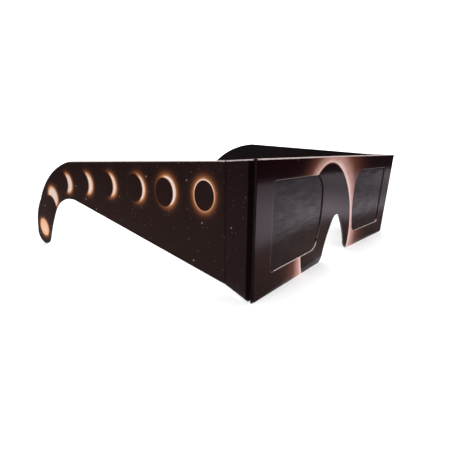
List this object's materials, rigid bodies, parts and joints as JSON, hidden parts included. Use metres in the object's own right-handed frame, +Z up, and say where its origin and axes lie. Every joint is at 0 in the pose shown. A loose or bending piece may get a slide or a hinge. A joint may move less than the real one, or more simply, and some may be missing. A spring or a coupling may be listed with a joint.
{
  "type": "eclipse glasses",
  "caption": "Folding card eclipse glasses with dark filter films behind shaped windows, a nose notch, scored side strips and hooked temples.",
  "frame": {"origin": "middle of the base of the glasses as they stand open on their lower edges", "axes": "+X towards the wearer's left along the front, +Y back along the temples, so the front looks towards -Y, +Z up"},
  "size_m": [0.1782, 0.1328, 0.0578],
  "materials": {
    "printed_board": "gloss coated print",
    "inner_board": "satin black print",
    "glue": "dried paste",
    "filter_film": "glossy, opaque black",
    "scored_board": "pressed and folded print"
  },
  "bodies": {
    "front": {"front_panel": "printed_board", "back_panel": "inner_board", "panel_glue": "glue", "right_lens_film": "filter_film", "left_lens_film": "filter_film"},
    "right_side": {"right_side_strip": "printed_board", "right_corner_score": "scored_board", "right_rear_score": "scored_board"},
    "right_arm": {"right_temple": "printed_board"},
    "left_side": {"left_side_strip": "printed_board", "left_corner_score": "scored_board", "left_rear_score": "scored_board"},
    "left_arm": {"left_temple": "printed_board"}
  },
  "joints": [
    {"name": "right_corner_fold", "type": "hinge", "parent": "front", "child": "right_side", "pos_m": [-0.04908, -0.06588, 0.0254], "axis": [0, 0, -1], "range_deg": [-92.44, 0]},
    {"name": "right_rear_fold", "type": "hinge", "parent": "right_side", "child": "right_arm", "pos_m": [-0.04933, -0.05258, 0.0254], "axis": [0, 0, -1], "range_deg": [-26.6, 108.4]},
    {"name": "left_corner_fold", "type": "hinge", "parent": "front", "child": "left_side", "pos_m": [0.08685, -0.06588, 0.0254], "axis": [0.0697, -0.003, 0.9976], "range_deg": [-92.44, 0]},
    {"name": "left_rear_fold", "type": "hinge", "parent": "left_side", "child": "left_arm", "pos_m": [0.08717, -0.05262, 0.02635], "axis": [0.0697, -0.003, 0.9976], "range_deg": [-73, 44]}
  ]
}
